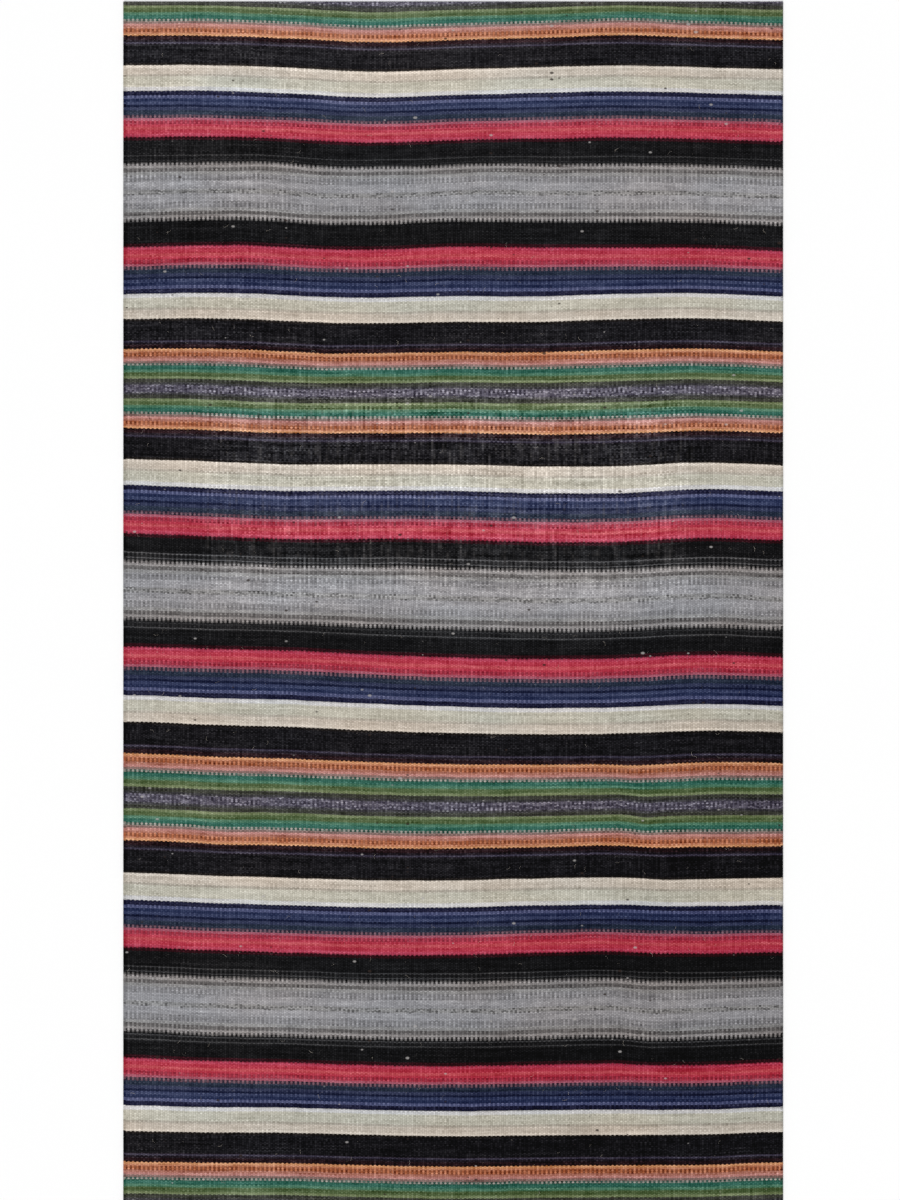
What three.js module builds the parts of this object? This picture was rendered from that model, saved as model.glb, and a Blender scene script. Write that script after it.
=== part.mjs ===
// A flatwoven striped rug lying flat: one cloth, its wool weft beaten down over stout lengthwise warps.
// Millimetres, +Z up. The length runs along Y and the width along X, both centred on the origin,
// and the underside lies flat on Z = 0.
import * as THREE from 'three';

const rugWidth = 1500;
const rugLength = 2730;
const warpCount = 300; // lengthwise cords, each one standing up as a low round rib
const selvedgeWarps = 2; // outer warps on each side, bundled into one thicker cord that the weft turns round
const valleyThickness = 3.2; // between two ribs
const ribHeight = 0.6; // a rib over its valleys
const selvedgeThickness = 4.8; // over the middle of a selvedge cord
const edgeThickness = 1.4; // at the outermost edge of a selvedge, where its round side meets the floor
const pointsPerWarp = 2; // a valley and a crest

const wool = new THREE.MeshStandardMaterial({ color: 0x56504f, roughness: 0.95, metalness: 0 });

const warpPitch = rugWidth / warpCount;
const selvedgeWidth = selvedgeWarps * warpPitch;

// A rib rises from its valleys as a half wave, one for every warp pitch.
function ribThickness(inFromSelvedge) {
  return valleyThickness + ribHeight * Math.abs(Math.sin((Math.PI * inFromSelvedge) / warpPitch));
}

// The selvedge is a round cord, fuller than the field, that leans down to the rug's outer edge.
function selvedgeRise(inFromEdge) {
  const across = inFromEdge / selvedgeWidth;
  const chord = THREE.MathUtils.lerp(edgeThickness, valleyThickness, across);
  const crown = selvedgeThickness - (edgeThickness + valleyThickness) / 2;
  return chord + crown * Math.sin(Math.PI * across);
}

function clothThickness(x) {
  const inFromEdge = rugWidth / 2 - Math.abs(x);
  return inFromEdge < selvedgeWidth ? selvedgeRise(inFromEdge) : ribThickness(inFromEdge - selvedgeWidth);
}

// A slab divided across the width at every valley and crest, whose top is then raised to the cloth's thickness.
function wovenCloth() {
  const cloth = new THREE.BoxGeometry(rugWidth, rugLength, valleyThickness, warpCount * pointsPerWarp, 1, 1);
  cloth.translate(0, 0, valleyThickness / 2);
  const points = cloth.attributes.position;
  for (let i = 0; i < points.count; i += 1) {
    if (points.getZ(i) > 0) points.setZ(i, clothThickness(points.getX(i)));
  }
  cloth.computeVertexNormals();
  return cloth;
}

const kilimCloth = new THREE.Mesh(wovenCloth(), wool);
kilimCloth.name = 'kilim_cloth';

const kilimRug = new THREE.Group();
kilimRug.name = 'kilim_rug';
kilimRug.add(kilimCloth);

export default kilimRug;
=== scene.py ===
import math

import bpy
import numpy as np
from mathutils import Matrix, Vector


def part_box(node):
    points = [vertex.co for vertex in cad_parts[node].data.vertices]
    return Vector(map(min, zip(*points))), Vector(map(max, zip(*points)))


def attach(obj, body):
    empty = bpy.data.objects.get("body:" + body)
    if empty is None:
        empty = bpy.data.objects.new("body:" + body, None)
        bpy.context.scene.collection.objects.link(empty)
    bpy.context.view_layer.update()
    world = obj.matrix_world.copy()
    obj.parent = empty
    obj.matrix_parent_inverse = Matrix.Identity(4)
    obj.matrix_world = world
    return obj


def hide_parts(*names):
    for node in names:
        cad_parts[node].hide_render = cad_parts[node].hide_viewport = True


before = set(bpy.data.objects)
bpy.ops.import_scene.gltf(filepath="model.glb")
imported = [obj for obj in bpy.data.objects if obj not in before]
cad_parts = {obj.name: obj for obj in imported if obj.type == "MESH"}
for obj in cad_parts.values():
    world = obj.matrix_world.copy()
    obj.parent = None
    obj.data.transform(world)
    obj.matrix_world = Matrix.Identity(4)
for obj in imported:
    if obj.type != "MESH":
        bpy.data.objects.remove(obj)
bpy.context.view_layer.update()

clothLow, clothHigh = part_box("kilim_cloth")
rugWidth = clothHigh.x - clothLow.x
rugLength = clothHigh.y - clothLow.y
millimetre = 0.001

darkest = (0.04, 0.04, 0.04)  # on the scale from black to white that shades are added on


def linearColour(red, green, blue):  # from ordinary 0 to 255 screen values
    shares = [value / 255 for value in (red, green, blue)]
    return tuple(s / 12.92 if s <= 0.04045 else ((s + 0.055) / 1.055) ** 2.4 for s in shares) + (1.0,)


class Strand:  # one socket of a node tree, so that sums of sockets are written as plain arithmetic
    def __init__(self, tree, socket=None):
        self.tree = tree
        self.socket = socket

    def make(self, kind, settings=None, values=None, output=0):
        node = self.tree.nodes.new(kind)
        for name, value in (settings or {}).items():
            if name == "stops":
                layStops(node.color_ramp, value)
            else:
                setattr(node, name, value)
        for name, value in (values or {}).items():
            if isinstance(value, Strand):
                self.tree.links.new(value.socket, node.inputs[name])
            else:
                node.inputs[name].default_value = value
        return Strand(self.tree, node.outputs[output] if node.outputs else None)

    def at(self, output):  # another output of the same node
        return Strand(self.tree, self.socket.node.outputs[output])

    def axes(self, *names):  # the parts of a vector along the axes that are named
        return [self.make("ShaderNodeSeparateXYZ", values={0: self}, output=name) for name in names]

    def math(self, operation, *others):
        return self.make("ShaderNodeMath", {"operation": operation}, dict(enumerate((self, *others))))

    def __add__(self, other):
        return self.math("ADD", other)

    def __radd__(self, other):
        return self.math("ADD", other)

    def __sub__(self, other):
        return self.math("SUBTRACT", other)

    def __rsub__(self, other):
        return self.make("ShaderNodeMath", {"operation": "SUBTRACT"}, {0: other, 1: self})

    def __mul__(self, other):
        return self.math("MULTIPLY", other)

    def __rmul__(self, other):
        return self.math("MULTIPLY", other)

    def __truediv__(self, other):
        return self.math("DIVIDE", other)

    def __gt__(self, other):
        return self.math("GREATER_THAN", other)

    def __lt__(self, other):
        return self.math("LESS_THAN", other)

    def eased(self, low, high):  # 0 below low, 1 above high, smooth between
        limits = {0: self, 1: low, 2: high}
        return self.make("ShaderNodeMapRange", {"interpolation_type": "SMOOTHSTEP"}, limits)

    def within(self, low, high, fade):
        return self.eased(low - fade, low + fade) * (1 - self.eased(high - fade, high + fade))

    def vector(self, x, y, z=0.0):
        return self.make("ShaderNodeCombineXYZ", values={0: x, 1: y, 2: z})

    def noise(self, place, scale, detail=2.0, roughness=0.5):  # centred on zero, about half up and half down
        cloudy = self.make(
            "ShaderNodeTexNoise",
            {"noise_dimensions": "3D"},
            {"Vector": place, "Scale": scale, "Detail": detail, "Roughness": roughness},
        )
        return cloudy - 0.5

    def chance(self, place):  # an even random number from -0.5 to 0.5 for each place
        return self.make("ShaderNodeTexWhiteNoise", {"noise_dimensions": "3D"}, {"Vector": place}) - 0.5

    def blend(self, first, second, share):  # two colours
        return self.make("ShaderNodeMix", {"data_type": "RGBA"}, {0: share, 6: first, 7: second}, output=2)

    def tinted(self, tint):
        return self.make("ShaderNodeVectorMath", {"operation": "MULTIPLY"}, {0: self, 1: tint})

    def scaled(self, amount):
        return self.make("ShaderNodeVectorMath", {"operation": "SCALE"}, {0: self, 3: amount})

    def joined(self, amount):  # a colour with the same amount added to its red, green and blue
        lifted = self.make("ShaderNodeVectorMath", {"operation": "ADD"}, {0: self, 1: amount})
        return self.make("ShaderNodeVectorMath", {"operation": "MAXIMUM"}, {0: lifted, 1: darkest})

    def toned(self, power):
        return self.make("ShaderNodeGamma", None, {"Color": self, "Gamma": power})


def layStops(ramp, stops):
    ramp.interpolation = "CONSTANT"
    ramp.elements[0].position = 0.0
    ramp.elements[0].color = stops[0][1]
    ramp.elements.remove(ramp.elements[1])
    for position, colour in stops[1:]:
        ramp.elements.new(position).color = colour


# The camera hangs straight over the rug
picture = {
    "rugPixels": 660.0,  # the rug's width
    "leftPixel": 123.15,  # its left edge
    "topPixel": 1.4,  # its upper end
    "middlePixel": (450.0, 600.0),
    "pixelsHigh": 1200,
    "lens": 85.0,
    "film": 36.0,
    "farClip": 100.0,
    "sharpLevel": 0.75,  # where the picture's scale holds, as a share of the cloth's thickness
}
pixelSize = rugWidth / picture["rugPixels"]


def hangCamera():
    data = bpy.data.cameras.new("overheadCamera")
    data.lens = picture["lens"]
    data.sensor_width = picture["film"]
    data.sensor_fit = "AUTO"
    data.clip_end = picture["farClip"]
    camera = bpy.data.objects.new("overheadCamera", data)
    distance = picture["pixelsHigh"] * pixelSize * picture["lens"] / picture["film"]
    camera.location = (
        clothLow.x + (picture["middlePixel"][0] - picture["leftPixel"]) * pixelSize,
        clothHigh.y - (picture["middlePixel"][1] - picture["topPixel"]) * pixelSize,
        distance + clothHigh.z * picture["sharpLevel"],
    )
    bpy.context.scene.collection.objects.link(camera)
    bpy.context.scene.camera = camera


hangCamera()
print("camera hung over the rug")


# The weave: warps are counted across from the left, picks down from the middle of the first dark stripe
weave = {
    "warpCount": 300,
    "picksPerHalf": 250,  # from the middle of a charcoal stripe to the middle of a grey one
    "halfCount": 6,
    "sagRounds": 3,  # how often the sag is worked out again, nearer each time
    # picks to the dark middle, the apricot's edge, the cream's two edges and the red's end
    "landmarks": [0, 51.7, 89.2, 122.6, 181.2],
    # how far each landmark lies from the upper end, in millimetres, half repeat by half repeat
    "found": [
        [-8, 84, 149, 210, 313],
        [436, 558, 667, 726, 794],
        [886, 979, 1050, 1112, 1222],
        [1352, 1483, 1595, 1657, 1727],
        [1824, 1920, 1991, 2055, 2162],
        [2288, 2413, 2516, 2575, 2643],
        [2740],
    ],
    # how far the stripes sag toward the lower end, in millimetres, at nine places from the left to the right
    "sag": [
        (180, [-6, -6, 0, 9, 4, -1, -5, -1, 4]),
        (560, [0, -5, 0, 5, -2, 0, 0, 1, 8]),
        (700, [-3, -5, 1, 6, 3, 3, -3, -5, 2]),
        (1150, [-13, -6, 1, 0, 1, 6, 6, -3, 2]),
        (1520, [-18, -13, -9, 0, 7, 11, 9, 1, 5]),
        (2080, [-13, -6, 0, 5, 5, 0, -1, 2, -1]),
        (2415, [-14, -6, -2, 4, 6, 3, 0, 3, -3]),
        (2550, [-7, -4, -3, 2, 5, 3, 2, 1, -5]),
    ],
    # small tugs where a warp was tight or slack, in millimetres: across, along, half width, half length, pull
    "tugs": [
        (330, 385, 80, 50, -5),
        (590, 385, 50, 50, -3.5),
        (300, 560, 70, 130, -2.5),
        (1150, 60, 100, 50, -3),
        (855, 395, 80, 60, -4),
        (445, 480, 60, 70, 2.5),
        (455, 790, 60, 60, 3),
        (345, 905, 140, 60, 2.5),
        (640, 1270, 60, 60, -2.5),
        (1480, 1360, 60, 120, 2.5),
        (60, 1680, 100, 100, -3),
        (1235, 1770, 70, 75, 4),
        (1150, 1740, 40, 40, 4),
        (1190, 1850, 26, 60, 4.5),
        (1120, 1830, 30, 50, -1.5),
        (1190, 2310, 45, 120, 3),
        (230, 1885, 60, 70, 3),
        (1085, 1885, 90, 90, -3),
        (1235, 1975, 50, 70, 3),
        (1085, 2180, 70, 100, -2.5),
        (855, 2295, 80, 60, 2.5),
        (1235, 2315, 70, 90, 4.5),
    ],
}


def picksAlong():  # matching lists of distances and pick numbers
    distances, picks = [], []
    half = weave["picksPerHalf"]
    for number, found in enumerate(weave["found"]):
        if number % 2:
            steps = [0] + [half - mark for mark in reversed(weave["landmarks"][1:])]
        else:
            steps = weave["landmarks"]
        distances += found
        picks += [number * half + step for step in steps[: len(found)]]
    return distances, picks


# A smooth curve through the nine places, eased from one row of them to the next
def sagAt(across, distance):
    rows = np.array([row[0] for row in weave["sag"]], float)
    pulls = np.array([row[1] for row in weave["sag"]], float)
    pulls = np.hstack([pulls[:, :1], pulls, pulls[:, -1:]])
    place = np.clip(across, 0, 1) * (pulls.shape[1] - 3)
    cell = np.minimum(place.astype(int), pulls.shape[1] - 4)
    t = place - cell
    below = np.clip(np.searchsorted(rows, distance) - 1, 0, len(rows) - 2)
    ease = np.clip((distance - rows[below]) / (rows[below + 1] - rows[below]), 0, 1)
    ease = ease * ease * (3 - 2 * ease)
    found = []
    for row in (below, below + 1):
        a, b, c, d = (pulls[row, cell + step] for step in range(4))
        found.append(b + 0.5 * t * (c - a + t * (2 * a - 5 * b + 4 * c - d + t * (3 * (b - c) + d - a))))
    sag = found[0] + (found[1] - found[0]) * ease
    for tugAcross, tugAlong, width, length, pull in weave["tugs"]:
        aside = (across * rugWidth / millimetre - tugAcross) / width
        along = (distance - tugAlong) / length
        sag = sag + pull * np.exp(-aside * aside - along * along)
    return sag


def weavePlace(x, y):  # (warps from the left, picks from the first dark middle)
    across = (x - clothLow.x) / rugWidth
    distance = (clothHigh.y - y) / millimetre
    straight = distance
    for _ in range(weave["sagRounds"]):
        straight = distance - sagAt(across, straight)
    return across * weave["warpCount"], np.interp(straight, *picksAlong())


def layWeaveMap(mesh, x, y):  # one x and y for each vertex
    warps, picks = weavePlace(x, y)
    corners = np.zeros(len(mesh.loops), np.int32)
    mesh.loops.foreach_get("vertex_index", corners)
    places = np.stack([warps[corners], picks[corners]], axis=1)
    mesh.uv_layers.new(name="weave").data.foreach_set("uv", places.astype(np.float32).ravel())


# Yarns as they look in even light
yarns = {
    "violet": linearColour(60, 56, 68),
    "lilac": linearColour(86, 82, 96),
    "charcoal": linearColour(61, 60, 63),
    "oliveBlack": linearColour(59, 60, 53),
    "lime": linearColour(117, 129, 94),
    "olive": linearColour(80, 97, 62),
    "green": linearColour(76, 107, 78),
    "seaGreen": linearColour(76, 119, 97),
    "teal": linearColour(47, 97, 83),
    "ash": linearColour(150, 147, 139),
    "darkTeal": linearColour(38, 72, 63),
    "roseBrown": linearColour(128, 104, 99),
    "pink": linearColour(189, 135, 128),
    "salmon": linearColour(177, 119, 103),
    "tan": linearColour(167, 111, 97),
    "orange": linearColour(190, 119, 86),
    "rust": linearColour(120, 66, 45),
    "apricot": linearColour(186, 124, 96),
    "gold": linearColour(208, 151, 110),
    "oxblood": linearColour(33, 14, 19),
    "ink": linearColour(27, 20, 28),
    "dimViolet": linearColour(62, 58, 73),
    "black": linearColour(15, 14, 18),
    "soot": linearColour(20, 15, 13),
    "brightCream": linearColour(211, 201, 188),
    "cream": linearColour(197, 187, 174),
    "shadedCream": linearColour(177, 170, 158),
    "whiteCream": linearColour(191, 188, 174),
    "white": linearColour(204, 203, 203),
    "midnight": linearColour(25, 26, 52),
    "periwinkle": linearColour(91, 96, 130),
    "slateBlue": linearColour(60, 66, 99),
    "navy": linearColour(32, 41, 73),
    "denim": linearColour(58, 66, 97),
    "darkDenim": linearColour(43, 51, 82),
    "deepNavy": linearColour(15, 22, 50),
    "blue": linearColour(54, 60, 86),
    "darkBlue": linearColour(42, 48, 75),
    "petrol": linearColour(34, 43, 60),
    "dove": linearColour(118, 87, 98),
    "plumBlack": linearColour(38, 36, 51),
    "raspberry": linearColour(160, 84, 101),
    "cherry": linearColour(176, 62, 80),
    "wine": linearColour(140, 45, 62),
    "red": linearColour(178, 56, 74),
    "coral": linearColour(188, 77, 86),
    "rose": linearColour(178, 65, 88),
    "maroon": linearColour(42, 4, 13),
    "coalBlack": linearColour(12, 12, 14),
    "ashGrey": linearColour(120, 117, 116),
    "silver": linearColour(158, 153, 152),
    "coalGrey": linearColour(56, 54, 55),
    "paleGrey": linearColour(150, 146, 145),
    "warmGrey": linearColour(122, 119, 118),
    "shadowGrey": linearColour(90, 87, 87),
    "dullGrey": linearColour(144, 143, 143),
    "grey": linearColour(153, 152, 155),
    "midGrey": linearColour(122, 121, 123),
    "strayGrey": linearColour(88, 88, 90),
    "warpGrey": linearColour(158, 153, 152),
    "lint": linearColour(178, 174, 172),
    "burr": linearColour(48, 38, 34),
}

# The stripes from the middle of a charcoal stripe to the middle of a grey one, and then back again.
# Each line is how many picks, the first shuttle's yarn and the second's, which alternate pick by pick.
stripes = [
    (5, "violet", "lilac"),
    (3, "charcoal", "charcoal"),
    (5, "oliveBlack", "oliveBlack"),
    (3, "lime", "lime"),
    (5, "olive", "olive"),
    (1, "green", "green"),
    (3, "seaGreen", "seaGreen"),
    (5, "teal", "teal"),
    (3, "ash", "darkTeal"),
    (3, "roseBrown", "roseBrown"),
    (3, "pink", "pink"),
    (3, "salmon", "tan"),
    (5, "orange", "rust"),
    (2, "apricot", "apricot"),
    (2, "gold", "gold"),
    (1, "gold", "oxblood"),
    (5, "oxblood", "oxblood"),
    (3, "ink", "ink"),
    (2, "dimViolet", "dimViolet"),
    (1, "ink", "ink"),
    (24, "black", "black"),
    (3, "soot", "soot"),
    (3, "brightCream", "brightCream"),
    (8, "cream", "cream"),
    (3, "shadedCream", "shadedCream"),
    (13, "whiteCream", "whiteCream"),
    (5, "white", "white"),
    (6, "midnight", "midnight"),
    (4, "periwinkle", "slateBlue"),
    (4, "navy", "navy"),
    (4, "denim", "darkDenim"),
    (3, "deepNavy", "deepNavy"),
    (4, "blue", "darkBlue"),
    (6, "petrol", "petrol"),
    (4, "dove", "plumBlack"),
    (3, "raspberry", "raspberry"),
    (5, "cherry", "wine"),
    (3, "red", "red"),
    (4, "coral", "coral"),
    (5, "red", "red"),
    (3, "rose", "rose"),
    (1, "rose", "maroon"),
    (4, "maroon", "maroon"),
    (28, "coalBlack", "coalBlack"),
    (2, "ashGrey", "coalBlack"),
    (2, "silver", "coalGrey"),
    (1, "silver", "warmGrey"),
    (2, "paleGrey", "paleGrey"),
    (5, "warmGrey", "shadowGrey"),
    (4, "dullGrey", "dullGrey"),
    (8, "grey", "midGrey"),
    (10, "grey", "grey"),
    (3, "dullGrey", "dullGrey"),
]
# Grey thrown into the black: the first pick, how many there are, whether only the first shuttle threw them,
# and how plainly they show in the six half repeats
strayPicks = [
    (204, 1, False, [0.35, 0.0, 1.0, 0.75, 0.55, 0.55]),
    (210, 1, False, [0.1, 0.0, 0.9, 0.2, 0.5, 0.6]),
    (203, 9, True, [0.02, 0.02, 0.2, 0.12, 0.12, 0.13]),
]
# Dashes of lighter or darker yarn, from each of these picks on: 0 is dark, 0.5 none and 1 light
dashes = [
    (0, 1.0),
    (5, 0.5),
    (38, 0.32),
    (52, 0.56),
    (92, 0.38),
    (122, 0.54),
    (160, 0.42),
    (181, 0.52),
    (212, 0.38),
    (247, 0.0),
]
# How uneven the yarn is from each of these picks on, 0.5 being as usual
unevenYarn = [
    (0, 0.44),
    (5, 0.62),
    (39, 0.58),
    (57, 0.5),
    (127, 0.4),
    (159, 0.52),
    (181, 0.36),
    (212, 0.52),
]
rampSpan = weave["picksPerHalf"] // 2  # a colour ramp is read in 256 steps, so each half repeat takes two

# Specks spun into the yarn: the yarn they look like, how few there are and how plainly they show
specks = [("lint", 0.974, 0.6), ("burr", 0.962, 0.85)]
speckForm = {
    "cells": (58, 92),  # to the metre across and along, a few of which hold a speck
    "layerStep": 9.0,
    "size": 0.3,  # of a cell
    "leastSize": 0.001,
    "rim": (0.6, 1.2),
    "raggedness": 0.1,
}

# Clouds of noise over the wool: how fast they change across and along, layer, detail and roughness
clouds = {
    "comb": (0.27, 0.31, 0.0, 2.0, 0.5),  # for each warp and each pick
    "streak": (0.045, 0.61, 0.0, 2.0, 0.55),
    "yarn": (0.022, 0.17, 5.0, 2.0, 0.6),
    "slub": (0.16, 0.83, 2.0, 2.0, 0.6),
    "warp": (0.73, 16.0, 9.0, 2.0, 0.6),  # for each warp and each metre
    "wornLine": (0.61, 3.5, 6.0, 1.0, 0.5),
    "bareWarp": (0.93, 13.0, 0.0, 2.0, 0.7),
    "warmth": (3.0, 7.0, 0.0, 2.0, 0.5),  # for each metre both ways
    "fibre": (1.0, 1.0, 0.0, 3.0, 0.65),  # over the fibre's own slanting directions
}

woolLook = {
    "combContrast": 0.8,  # how far the two shuttles' yarns stay apart
    "combUnevenness": 3.2,
    "straightness": 0.6,  # of the edges between stripes
    "wander": 1.5,  # how far a shot of weft strays from its line, in picks
    "wanderScale": 14.0,
    "beadShift": 0.3,  # how far a warp's beads are out of step, in picks
    "shiftLayer": 7.0,
    "beadBulge": 0.17,
    # How much lighter or darker the wool may be, on a scale from black to white:
    "beadShade": 0.055,  # one bead of weft
    "livelyBeads": 0.19,
    "warpShade": 0.19,  # one warp's line of beads
    "pickShade": 0.035,  # one whole pick
    "pickLayer": 3.0,
    "streakShade": 0.26,  # a stretch of one pick
    "yarnShade": 0.13,  # a stretch of a few picks
    "patchShade": 0.07,  # a place the size of a hand
    "patchScale": 5.0,
    "dashShade": 0.42,
    "slubRange": (-0.02, 0.13),
    "fibreShade": 0.12,
    "fibreAcross": (300, 500),  # its steps to the metre along X and Y
    "fibreAlong": (240, 2200),
    "twistSlant": 1.4,  # the plies run aslant over each bead
    "twistCount": 1.6,
    "twistWander": 3,
    # painted shade in the grooves between the plies
    "paintedTwistShade": 0.014,
    # painted shade in the crevices between beads
    "paintedCreviceShade": 0.105,
    "creviceLevel": 1.4,
    "selvedgeShade": -0.05,  # of the left-hand selvedge
    "selvedgeWarps": 1.6,
    # Worn and coarse places, painted shade and a lighter upper left, in metres across and along:
    "wornAcross": (-0.564, 0.538),
    "wornAlong": (0.0, 0.49),
    "wornFade": (0.02, 0.05),
    "wornRoughness": 0.65,
    "wornLines": 0.17,
    "wornLift": 0.028,
    "coarseAcross": (-0.760, -0.340),
    "coarseAlong": (0.550, 1.320),
    "coarseFade": (0.03, 0.04),
    "coarseRoughness": 0.25,
    "dim": (-1.5, -0.3),  # painted shade: the light falls off towards the lower right corner
    "dimSlant": 1.2,
    "paintedFalloffShade": 0.045,
    "hazy": (0.85, 1.25),  # and it is lighter towards the upper left
    "hazyAcross": (-0.1, 0.7),
    "hazyShade": 0.036,
    "warmTint": (1.030, 0.995, 0.975),
    "coolTint": (0.975, 0.997, 1.020),
    "warmthRange": (-0.22, 0.22),
    "warpShow": 0.084,  # how much warp shows in the worn middle
    "bareRange": (0.0, 0.22),
    "bareUnevenness": 1.6,
    "bareLayer": 4.0,
    "eyeGamma": 2.2,
    # The surface
    "fibreHeight": 0.4,  # of a bead's height
    "twistHeight": 0.08,
    "bumpStrength": 0.7,
    "bumpDepth": 0.6 * millimetre,
    "roughness": 0.9,
    "roughnessSpread": 0.15,
    "specular": 0.05,
    "sheen": 0.02,
    "sheenRoughness": 0.6,
}


def rampStops(shuttle, start):  # constant stops for the picks from start on, rampSpan of them
    stops, pick = [], 0
    for count, *pair in stripes:
        if pick + count > start and pick < start + rampSpan:
            stops.append((max(pick - start, 0) / rampSpan, yarns[pair[shuttle]]))
        pick += count
    return stops


def levelAt(loom, steps, whole, place):  # a level that changes in steps, from (start, level) pairs
    stops = [(start / whole, (level, level, level, 1.0)) for start, level in steps]
    return loom.make("ShaderNodeValToRGB", {"stops": stops}, {0: place / whole})


def chartColour(loom, shown, place, side):  # the yarn that a pick shows
    half = weave["picksPerHalf"]
    late = place > rampSpan
    shuttles = []
    for shuttle in (0, 1):
        ramps = []
        for start in (0, rampSpan):
            stops = rampStops(shuttle, start)
            ramps.append(loom.make("ShaderNodeValToRGB", {"stops": stops}, {0: (place - start) / rampSpan}))
        shuttles.append(loom.blend(*ramps, late))
    colour = loom.blend(*shuttles, side)
    repeat = (shown / half).math("FLOOR") + 0.5
    for first, count, comb, strengths in strayPicks:
        strength = levelAt(loom, enumerate(strengths), weave["halfCount"], repeat)
        here = place.math("COMPARE", first + count / 2, count / 2)
        if comb:
            here = here * (1 - side)
        colour = loom.blend(colour, yarns["strayGrey"], here * strength)
    return colour


def cloudOver(loom, name, across, along):
    stepAcross, stepAlong, layer, detail, roughness = clouds[name]
    return loom.noise(loom.vector(across * stepAcross, along * stepAlong, layer), 1.0, detail, roughness)


def addSpecks(loom, colour, x, y, fibre):  # lint and burr spun into the yarn
    form = speckForm
    across, along = form["cells"]
    for number, (yarn, few, share) in enumerate(specks):
        place = loom.vector(x * across, y * along, number * form["layerStep"])
        cells = loom.make("ShaderNodeTexVoronoi", None, {"Vector": place, "Scale": 1.0})
        luck = loom.make("ShaderNodeSeparateColor", None, {0: cells.at("Color")})
        size = ((luck - few) / (1 - few)).math("MAXIMUM", 0.0) * form["size"]
        speck = 1 - ((cells + fibre * form["raggedness"]) / (size + form["leastSize"])).eased(*form["rim"])
        colour = loom.blend(colour, yarns[yarn], speck * share)
    return colour


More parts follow.
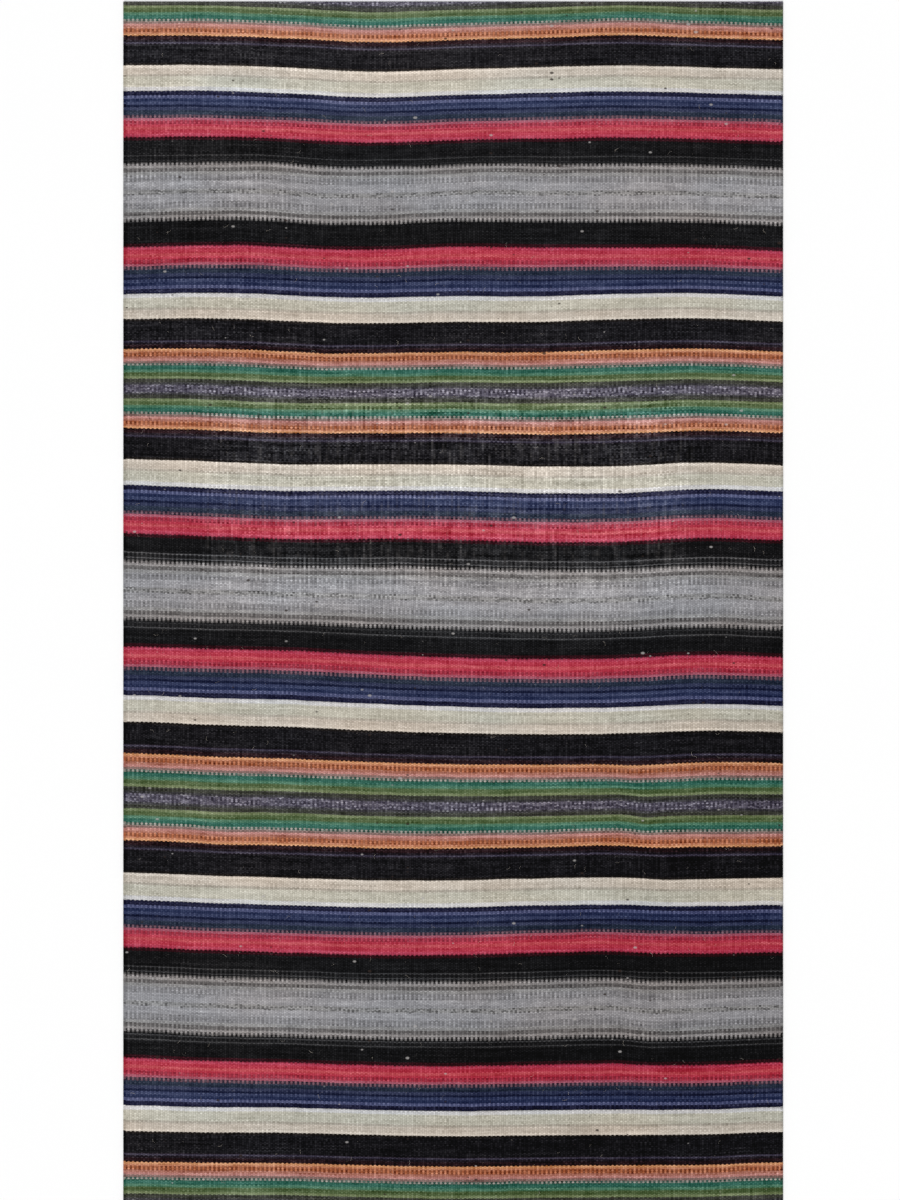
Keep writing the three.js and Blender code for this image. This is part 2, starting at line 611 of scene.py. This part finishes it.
def weaveWool(name, beads):
    wool = bpy.data.materials.new(name)
    wool.use_nodes = True
    wool.node_tree.nodes.clear()
    loom = Strand(wool.node_tree)
    look = woolLook
    half = weave["picksPerHalf"]
    spot = loom.make("ShaderNodeTexCoord", output="Object")
    x, y = spot.axes("X", "Y")
    warp, pick = loom.make("ShaderNodeUVMap", {"uv_map": "weave"}).axes("X", "Y")
    fadeAcross, fadeAlong = look["wornFade"]
    worn = x.within(*look["wornAcross"], fadeAcross) * y.within(*look["wornAlong"], fadeAlong)
    fadeAcross, fadeAlong = look["coarseFade"]
    coarse = x.within(*look["coarseAcross"], fadeAcross) * y.within(*look["coarseAlong"], fadeAlong)

    # which pick shows on which warp: a bead covers two picks, and the next warp's beads lie one pick lower,
    # so each bead is widest where its neighbours meet
    pick = pick + loom.noise(spot, look["wanderScale"], detail=1.0) * look["wander"]
    warp = warp - (pick * math.pi).math("COSINE") * (warp * math.pi).math("COSINE") * look["beadBulge"]
    column = warp.math("FLOOR")
    parity = column.math("MODULO", 2.0)
    pick = pick + loom.chance(loom.vector(column, look["shiftLayer"])) * look["beadShift"]
    pair = (pick - parity) * 0.5
    bead = pair.math("FLOOR")
    shown = bead * 2 + parity
    loose = cloudOver(loom, "comb", warp, shown) * look["combUnevenness"]
    shuttle = (0.5 + (parity - 0.5) * look["combContrast"] * (1 + loose)).math("MAXIMUM", 0.0)
    seen = [(number + 0.5).math("PINGPONG", half) for number in (shown, pick.math("FLOOR"))]
    charts = [chartColour(loom, shown, place, shuttle) for place in seen]
    colour = loom.blend(*charts, look["straightness"])
    dash = levelAt(loom, dashes, half, seen[0]) - 0.5
    uneven = levelAt(loom, unevenYarn, half, seen[0]) * 2

    # each bead is round along the warp and across it
    length = pair - bead
    side = warp - column
    crown = 1 - (2 * length - 1).math("POWER", 2.0)
    ridge = 1 - (2 * side - 1).math("POWER", 2.0)
    (fastX, fastY), (slowX, slowY) = look["fibreAcross"], look["fibreAlong"]
    fibre = cloudOver(loom, "fibre", x * fastX + y * fastY, y * slowY - x * slowX)
    turns = (side * look["twistSlant"] + length) * (2 * math.pi * look["twistCount"])
    twist = (turns + fibre * look["twistWander"]).math("SINE")

    # hand-spun yarn is lighter and darker along a pick, from bead to bead and from place to place, and
    # painted shade is laid over it
    rough = 1 + worn * look["wornRoughness"] + coarse * look["coarseRoughness"]
    lively = dash.math("MAXIMUM", 0.0) * look["livelyBeads"]
    shade = cloudOver(loom, "streak", warp, shown) * look["streakShade"]
    shade = shade + cloudOver(loom, "yarn", warp, shown) * look["yarnShade"]
    shade = shade + loom.chance(loom.vector(shown, look["pickLayer"])) * look["pickShade"]
    shade = shade + loom.chance(loom.vector(column, bead)) * (look["beadShade"] + lively)
    shade = shade + cloudOver(loom, "warp", column, y) * look["warpShade"]
    shade = shade * rough * uneven
    slub = cloudOver(loom, "slub", warp, shown).eased(*look["slubRange"])
    shade = shade + slub * dash * look["dashShade"]
    shade = shade + loom.noise(spot, look["patchScale"], detail=3.0) * look["patchShade"]
    # the twist term is painted shade: darker in the grooves between the plies, lighter on their tops
    shade = shade + fibre * look["fibreShade"] + twist * look["paintedTwistShade"]
    # painted shade: darker in the crevices where beads meet, lighter on their crowns
    if beads:
        shade = shade + (crown + ridge - look["creviceLevel"]) * look["paintedCreviceShade"]
    # painted shade: the light falls off towards the lower right corner
    shade = shade - (1 - (y - x * look["dimSlant"]).eased(*look["dim"])) * look["paintedFalloffShade"]
    shade = shade + y.eased(*look["hazy"]) * (1 - x.eased(*look["hazyAcross"])) * look["hazyShade"]
    lines = cloudOver(loom, "wornLine", column, y)
    shade = shade + worn * (look["wornLift"] + lines * look["wornLines"])
    shade = shade + (warp < look["selvedgeWarps"]) * look["selvedgeShade"]
    colour = colour.toned(1 / look["eyeGamma"]).joined(shade).toned(look["eyeGamma"])

    # warmer and cooler places, and the worn middle's warps, which show as light lines down the rug
    warmth = cloudOver(loom, "warmth", x, y).eased(*look["warmthRange"])
    colour = loom.blend(colour.tinted(look["warmTint"]), colour.tinted(look["coolTint"]), warmth)
    bare = cloudOver(loom, "bareWarp", column, y).eased(*look["bareRange"])
    luck = loom.chance(loom.vector(column, bead, look["bareLayer"]))
    bare = bare * (1 + luck * look["bareUnevenness"])
    colour = loom.blend(colour, yarns["warpGrey"], worn * bare * look["warpShow"])
    colour = addSpecks(loom, colour, x, y, fibre)

    height = fibre
    if beads:
        height = (crown * ridge).math("SQRT") + fibre * look["fibreHeight"] + twist * look["twistHeight"]
    bump = loom.make(
        "ShaderNodeBump",
        None,
        {"Strength": look["bumpStrength"], "Distance": look["bumpDepth"], "Height": height},
    )
    shader = loom.make(
        "ShaderNodeBsdfPrincipled",
        None,
        {
            "Base Color": colour,
            "Roughness": (look["roughness"] + fibre * look["roughnessSpread"]).math("MINIMUM", 1.0),
            "Specular IOR Level": look["specular"],
            "Sheen Weight": look["sheen"],
            "Sheen Roughness": look["sheenRoughness"],
            "Normal": bump,
        },
    )
    loom.make("ShaderNodeOutputMaterial", None, {"Surface": shader})
    return wool


def makeTree(name, sizes):  # an empty tree with one named input for each size, and Geometry in and out
    tree = bpy.data.node_groups.new(name, "GeometryNodeTree")
    tree.interface.new_socket("Geometry", in_out="INPUT", socket_type="NodeSocketGeometry")
    tree.interface.new_socket("Geometry", in_out="OUTPUT", socket_type="NodeSocketGeometry")
    for label, value in sizes.items():
        kind = "NodeSocketInt" if isinstance(value, int) else "NodeSocketFloat"
        tree.interface.new_socket(label, in_out="INPUT", socket_type=kind)
    tree.interface.new_socket("Wool", in_out="INPUT", socket_type="NodeSocketMaterial")
    return Strand(tree).make("NodeGroupInput")


def endTree(given, geometry):  # Realize Instances and Set Material close every tree
    real = given.make("GeometryNodeRealizeInstances", values={0: geometry})
    dressed = given.make("GeometryNodeSetMaterial", values={"Geometry": real, "Material": given.at("Wool")})
    given.make("NodeGroupOutput", values={0: dressed})
    return given.tree


def growMesh(name, base, tree, sizes, wool):  # runs the tree on a base mesh and keeps the plain mesh it gives
    piece = bpy.data.objects.new(name, base)
    bpy.context.scene.collection.objects.link(piece)
    modifier = piece.modifiers.new("making", "NODES")
    modifier.node_group = tree
    for item in tree.interface.items_tree:
        if item.in_out == "INPUT" and item.name in sizes:
            modifier[item.identifier] = sizes[item.name]
        if item.in_out == "INPUT" and item.name == "Wool":
            modifier[item.identifier] = wool
    depsgraph = bpy.context.evaluated_depsgraph_get()
    grown = bpy.data.meshes.new_from_object(
        piece.evaluated_get(depsgraph), preserve_all_data_layers=True, depsgraph=depsgraph
    )
    piece.modifiers.clear()
    piece.data = grown
    grown.name = name
    print(name, "has", sum(len(face.vertices) - 2 for face in grown.polygons), "triangles")
    return piece


# The cloth: a flat slab whose top a tree then raises into ribs, round selvedges and round ends
clothForm = {
    "columnsPerWarp": 4,
    "rows": 72,
    "underColumns": 60,
    "endSteps": (0.0, 0.15, 0.5),  # rows within the rounding of an end
    "underInset": 1.2 * millimetre,
    "unevenAcross": 90,  # how fast the ribs' height changes, for each metre
    "unevenAlong": 12,
}
clothSizes = {
    "Rug Width": rugWidth,
    "Rug Length": rugLength,
    "Warp Pitch": rugWidth / weave["warpCount"],
    "Valley Thickness": 3.2 * millimetre,
    "Rib Height": 0.6 * millimetre,
    "Rib Unevenness": 0.35,
    "Selvedge Width": 2 * rugWidth / weave["warpCount"],
    "Selvedge Thickness": 4.1 * millimetre,
    "Edge Thickness": 1.4 * millimetre,
    "End Rounding": 1.8 * millimetre,
}


def flatSlab():
    form = clothForm
    halfWidth, halfLength = rugWidth / 2, rugLength / 2
    rounding = clothSizes["End Rounding"]
    ends = [halfLength - step * rounding for step in form["endSteps"]]
    inner = np.linspace(-halfLength + rounding, halfLength - rounding, form["rows"] + 1)
    down = np.concatenate([[-place for place in ends], inner, ends[::-1]])
    topCount = weave["warpCount"] * form["columnsPerWarp"]
    underCount = form["underColumns"]
    shrink = [1 - form["underInset"] / half for half in (halfWidth, halfLength)]
    points = []
    for count, narrow, shorten, z in (
        (topCount, 1.0, 1.0, clothSizes["Valley Thickness"]),
        (underCount, *shrink, 0.0),
    ):
        x, y = np.meshgrid(np.linspace(-halfWidth, halfWidth, count + 1) * narrow, down * shorten)
        points.append(np.stack([x, y, np.full_like(x, z)], axis=-1).reshape(-1, 3))
    points = np.concatenate(points)
    topLine, underLine = topCount + 1, underCount + 1
    firstUnder = topLine * len(down)

    def top(column, row):
        return row * topLine + column

    def under(column, row):
        return firstUnder + row * underLine + column

    faces = []
    for row in range(len(down) - 1):
        for i in range(topCount):
            faces.append((top(i, row), top(i + 1, row), top(i + 1, row + 1), top(i, row + 1)))
        for i in range(underCount):
            faces.append((under(i, row), under(i, row + 1), under(i + 1, row + 1), under(i + 1, row)))
        faces.append((top(0, row), top(0, row + 1), under(0, row + 1), under(0, row)))
        faces.append(
            (top(topCount, row), under(underCount, row), under(underCount, row + 1), top(topCount, row + 1))
        )
    each = topCount // underCount
    for row, turn in ((0, 1), (len(down) - 1, -1)):
        for k in range(underCount):
            for m in range(each):
                foot = under(k + (m >= each // 2), row)
                faces.append((top(k * each + m, row), foot, top(k * each + m + 1, row))[::turn])
            middle = top(k * each + each // 2, row)
            faces.append((middle, under(k, row), under(k + 1, row))[::turn])
    slab = bpy.data.meshes.new("flatSlab")
    slab.from_pydata(points.tolist(), [], faces)
    layWeaveMap(slab, points[:, 0], points[:, 1])
    return slab


def ribTree():
    given = makeTree("raiseRibs", clothSizes)
    place = given.make("GeometryNodeInputPosition")
    x, y, z = place.axes("X", "Y", "Z")
    pitch, valley, selvedge = map(given.at, ("Warp Pitch", "Valley Thickness", "Selvedge Width"))
    fromEdge = given.at("Rug Width") * 0.5 - x.math("ABSOLUTE")
    fromEnd = given.at("Rug Length") * 0.5 - y.math("ABSOLUTE")
    spot = given.vector(x * clothForm["unevenAcross"], y * clothForm["unevenAlong"])
    uneven = 1 + given.noise(spot, scale=1.0, detail=1.0) * given.at("Rib Unevenness")
    rib = ((fromEdge - selvedge) / pitch * math.pi).math("SINE").math("ABSOLUTE")
    field = valley + rib * given.at("Rib Height") * uneven
    across = fromEdge / selvedge
    edge = given.at("Edge Thickness")
    chord = edge + (valley - edge) * across
    crown = given.at("Selvedge Thickness") - (edge + valley) * 0.5
    cord = chord + crown * (across * math.pi).math("SINE")
    outer = fromEdge < selvedge
    thickness = cord * outer + field * (1 - outer)
    gap = 1 - (fromEnd / given.at("End Rounding")).math("MINIMUM", 1.0)
    turned = 0.5 + 0.5 * (1 - gap * gap).math("SQRT")
    raised = given.make(
        "GeometryNodeSetPosition",
        values={
            "Geometry": given.at("Geometry"),
            "Selection": z > valley * 0.5,
            "Position": given.vector(x, y, thickness * turned),
        },
    )
    smooth = given.make("GeometryNodeSetShadeSmooth", values={0: raised})
    return endTree(given, smooth)


kilim = growMesh("kilim_weave", flatSlab(), ribTree(), clothSizes, weaveWool("stripedWool", True))


# The selvedge: the weft turns round each pair of outer warps, one turn for every two picks
wrapSizes = {
    "Rug Width": rugWidth,
    "Rug Length": rugLength,
    "Wrap Count": 750,
    "End Gap": 2.2 * millimetre,
    "Arc Radius": 4.35 * millimetre,
    "Arc Flatness": 0.68,
    "Arc Height": 1.25 * millimetre,  # of the arc's middle over the floor
    "Yarn Thickness": 0.6 * millimetre,
    "Yarn Breadth": 3.1,  # times its thickness
    "Slant": 0.16,
    "Unevenness": 0.10,
    "Seed": 11,
}
wrapForm = {
    "arcPoints": 8,
    "arcStart": -24,  # degrees, under the outer edge
    "arcSweep": 204,
    "yarnSides": 6,
    "slantRange": (0.6, 1.4),
    "otherSeed": 5,  # added for the right-hand side
}


def tubeAlong(given, line, sides, radius):
    ring = given.make("GeometryNodeCurvePrimitiveCircle", None, {"Resolution": sides, "Radius": radius})
    return given.make(
        "GeometryNodeCurveToMesh", None, {"Curve": line, "Profile Curve": ring, "Fill Caps": True}
    )


def randomFloat(given, low, high, seed):
    return given.make(
        "FunctionNodeRandomValue", {"data_type": "FLOAT"}, {2: low, 3: high, "Seed": seed}, output=1
    )


def markInstances(given, geometry, name, value):
    return given.make(
        "GeometryNodeStoreNamedAttribute",
        {"data_type": "FLOAT", "domain": "INSTANCE"},
        {"Geometry": geometry, "Name": name, "Value": value},
    )


def wrapTree():
    given = makeTree("turnSelvedges", wrapSizes)
    arc = given.make(
        "GeometryNodeCurveArc",
        {"mode": "RADIUS"},
        {
            "Resolution": wrapForm["arcPoints"],
            "Radius": given.at("Arc Radius"),
            "Start Angle": math.radians(wrapForm["arcStart"]),
            "Sweep Angle": math.radians(wrapForm["arcSweep"]),
        },
    )
    tube = tubeAlong(given, arc, wrapForm["yarnSides"], given.at("Yarn Thickness"))
    upright = given.make(
        "GeometryNodeTransform", None, {"Geometry": tube, "Rotation": (math.radians(90), 0.0, 0.0)}
    )
    wrap = given.make(
        "GeometryNodeTransform",
        None,
        {"Geometry": upright, "Scale": given.vector(1.0, given.at("Yarn Breadth"), given.at("Arc Flatness"))},
    )
    wrap = given.make("GeometryNodeSetShadeSmooth", values={0: wrap})
    run = given.at("Rug Length") - given.at("End Gap") * 2
    step = run / (given.at("Wrap Count") - 1)
    sides = []
    for number, side in enumerate((-1, 1)):
        start = given.vector(
            (given.at("Rug Width") * 0.5 - given.at("Arc Radius") - given.at("Yarn Thickness")) * side,
            run * -0.5,
            given.at("Arc Height"),
        )
        row = given.make(
            "GeometryNodeMeshLine",
            {"mode": "OFFSET"},
            {
                "Count": given.at("Wrap Count"),
                "Start Location": start,
                "Offset": given.vector(0.0, step, 0.0),
            },
        )
        seed = given.at("Seed") + number * wrapForm["otherSeed"]
        size = randomFloat(given, 1 - given.at("Unevenness"), 1.0, seed)
        least, most = (given.at("Slant") * share for share in wrapForm["slantRange"])
        turn = randomFloat(given, least, most, seed + 1)
        placed = given.make(
            "GeometryNodeInstanceOnPoints",
            None,
            {
                "Points": row,
                "Instance": wrap,
                "Rotation": given.vector(0.0, 0.0, turn * side + (0.0 if side > 0 else math.pi)),
                "Scale": given.vector(1.0, 1.0, size),
            },
        )
        sides.append(placed)
    both = given.make("GeometryNodeJoinGeometry", None, {0: sides[0]})
    given.tree.links.new(sides[1].socket, both.socket.node.inputs[0])
    [along] = given.make("GeometryNodeInputPosition").axes("Y")
    return endTree(given, markInstances(given, both, "wrapPlace", along))


def readPoints(mesh):
    points = np.zeros(len(mesh.vertices) * 3, np.float32)
    mesh.vertices.foreach_get("co", points)
    return points.reshape(-1, 3).astype(float)


def takeAttribute(mesh, name):  # its values, one for each vertex; it isn't needed afterwards
    attribute = mesh.attributes[name]
    values = np.zeros(len(mesh.vertices), np.float32)
    attribute.data.foreach_get("value", values)
    mesh.attributes.remove(attribute)
    return values.astype(float)


wraps = growMesh(
    "selvedge_turns", bpy.data.meshes.new("noBase"), wrapTree(), wrapSizes, weaveWool("turnedWool", False)
)
wrapSides = np.sign(readPoints(wraps.data)[:, 0])
layWeaveMap(wraps.data, wrapSides * (rugWidth / 2 - millimetre), takeAttribute(wraps.data, "wrapPlace"))


# Loose hairs and lint lying on the face
hairEdgeGap = 12 * millimetre  # so that no hair passes an edge
hairSizes = {
    "Hairs To The Square Metre": 320.0,
    "Clear Width": rugWidth / 2 - hairEdgeGap,  # from the middle
    "Clear Length": rugLength / 2 - hairEdgeGap,
    "Hair Length": 9 * millimetre,
    "Hair Bow": 0.35,  # of its length
    "Hair Thickness": 0.13 * millimetre,
    "Smallest": 0.35,
    "Biggest": 1.3,
    "Lift": 0.4 * millimetre,
    "Seed": 29,
}
hairForm = {
    "bendPoints": 4,
    "sides": 3,
    "darkToLight": (0.25, 0.6),
    "mottle": 0.3,
    "mottleScale": 700.0,
    "roughness": 0.8,
    "roughnessSpread": 0.1,
    "roughnessScale": 300.0,
    "specular": 0.3,
}


def lintMaterial():
    lint = bpy.data.materials.new("looseHair")
    lint.use_nodes = True
    lint.node_tree.nodes.clear()
    loom = Strand(lint.node_tree)
    shade = loom.make("ShaderNodeAttribute", {"attribute_name": "hairShade"}, output="Fac")
    spot = loom.make("ShaderNodeTexCoord", output="Object")
    light = shade.eased(*hairForm["darkToLight"])
    colour = loom.blend(yarns["shadowGrey"], yarns["brightCream"], light)
    mottle = loom.noise(spot, hairForm["mottleScale"]) * hairForm["mottle"]
    spread = loom.noise(spot, hairForm["roughnessScale"]) * hairForm["roughnessSpread"]
    shader = loom.make(
        "ShaderNodeBsdfPrincipled",
        None,
        {
            "Base Color": colour.scaled(1 + mottle),
            "Roughness": hairForm["roughness"] + spread,
            "Specular IOR Level": hairForm["specular"],
        },
    )
    loom.make("ShaderNodeOutputMaterial", None, {"Surface": shader})
    return lint


def hairTree():
    given = makeTree("strewHairs", hairSizes)
    [up] = given.make("GeometryNodeInputNormal").axes("Z")
    x, y = given.make("GeometryNodeInputPosition").axes("X", "Y")
    clear = (x.math("ABSOLUTE") < given.at("Clear Width")) * (y.math("ABSOLUTE") < given.at("Clear Length"))
    points = given.make(
        "GeometryNodeDistributePointsOnFaces",
        {"distribute_method": "RANDOM"},
        {
            "Mesh": given.at("Geometry"),
            "Selection": (up > 0.5) * clear,
            "Density": given.at("Hairs To The Square Metre"),
            "Seed": given.at("Seed"),
        },
    )
    reach = given.at("Hair Length") * 0.5
    line = given.make(
        "GeometryNodeCurveQuadraticBezier",
        None,
        {
            "Resolution": hairForm["bendPoints"],
            "Start": given.vector(reach * -1, 0.0, 0.0),
            "Middle": given.vector(0.0, given.at("Hair Bow") * given.at("Hair Length"), 0.0),
            "End": given.vector(reach, 0.0, 0.0),
        },
    )
    hair = tubeAlong(given, line, hairForm["sides"], given.at("Hair Thickness"))
    seed = given.at("Seed")
    size = randomFloat(given, given.at("Smallest"), given.at("Biggest"), seed + 1)
    turn = randomFloat(given, 0.0, 2 * math.pi, seed + 2)
    shade = randomFloat(given, 0.0, 1.0, seed + 3)
    placed = given.make(
        "GeometryNodeInstanceOnPoints",
        None,
        {
            "Points": points,
            "Instance": hair,
            "Rotation": given.vector(0.0, 0.0, turn),
            "Scale": given.vector(size, size, 1.0),
        },
    )
    lifted = given.make(
        "GeometryNodeTranslateInstances",
        None,
        {"Instances": placed, "Translation": given.vector(0.0, 0.0, given.at("Lift")), "Local Space": False},
    )
    return endTree(given, markInstances(given, lifted, "hairShade", shade))


hairs = growMesh("loose_hairs", kilim.data, hairTree(), hairSizes, lintMaterial())


# The floor and the light
studio = {
    "floorSize": 120.0,
    "floorGap": 0.3 * millimetre,  # under the rug
    "floorShade": 0.97,
    "floorMottle": 0.01,
    "floorMottleScale": 2.0,
    "floorRoughness": 0.9,
    "floorSpecular": 0.1,
    "skyStrength": 0.66,
    "lampStrength": 1.66,
    "lampSpread": 35,  # degrees
    "lampTilt": (38, -28),  # degrees from straight down, about X and about Y
    "lampPlace": (-2, 2, 4),
}


def layFloor():
    half, z = studio["floorSize"] / 2, -studio["floorGap"]
    corners = [(-half, -half, z), (half, -half, z), (half, half, z), (-half, half, z)]
    mesh = bpy.data.meshes.new("studioFloor")
    mesh.from_pydata(corners, [], [(0, 1, 2, 3)])
    floor = bpy.data.objects.new("studioFloor", mesh)
    bpy.context.scene.collection.objects.link(floor)
    paint = bpy.data.materials.new("palePaint")
    paint.use_nodes = True
    paint.node_tree.nodes.clear()
    mixer = Strand(paint.node_tree)
    spot = mixer.make("ShaderNodeTexCoord", output="Object")
    mottle = mixer.noise(spot, studio["floorMottleScale"]) * studio["floorMottle"]
    colour = mixer.make("ShaderNodeRGB")
    colour.socket.default_value = (studio["floorShade"],) * 3 + (1.0,)
    shader = mixer.make(
        "ShaderNodeBsdfPrincipled",
        None,
        {
            "Base Color": colour.scaled(1 + mottle),
            "Roughness": studio["floorRoughness"],
            "Specular IOR Level": studio["floorSpecular"],
        },
    )
    mixer.make("ShaderNodeOutputMaterial", None, {"Surface": shader})
    mesh.materials.append(paint)
    return floor


def lightStudio():
    world = bpy.data.worlds.new("softSky")
    bpy.context.scene.world = world
    world.use_nodes = True
    sky = world.node_tree.nodes["Background"].inputs
    sky["Color"].default_value = (1.0, 1.0, 1.0, 1.0)
    sky["Strength"].default_value = studio["skyStrength"]
    data = bpy.data.lights.new("softLamp", "SUN")
    data.energy = studio["lampStrength"]
    data.angle = math.radians(studio["lampSpread"])
    lamp = bpy.data.objects.new("softLamp", data)
    lamp.rotation_euler = [math.radians(angle) for angle in (*studio["lampTilt"], 0)]
    lamp.location = studio["lampPlace"]
    bpy.context.scene.collection.objects.link(lamp)
    bpy.context.scene.view_settings.view_transform = "Standard"


layFloor()
lightStudio()
print("floor laid and studio lit")

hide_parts("kilim_cloth")
for piece in (kilim, wraps, hairs):
    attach(piece, "root")
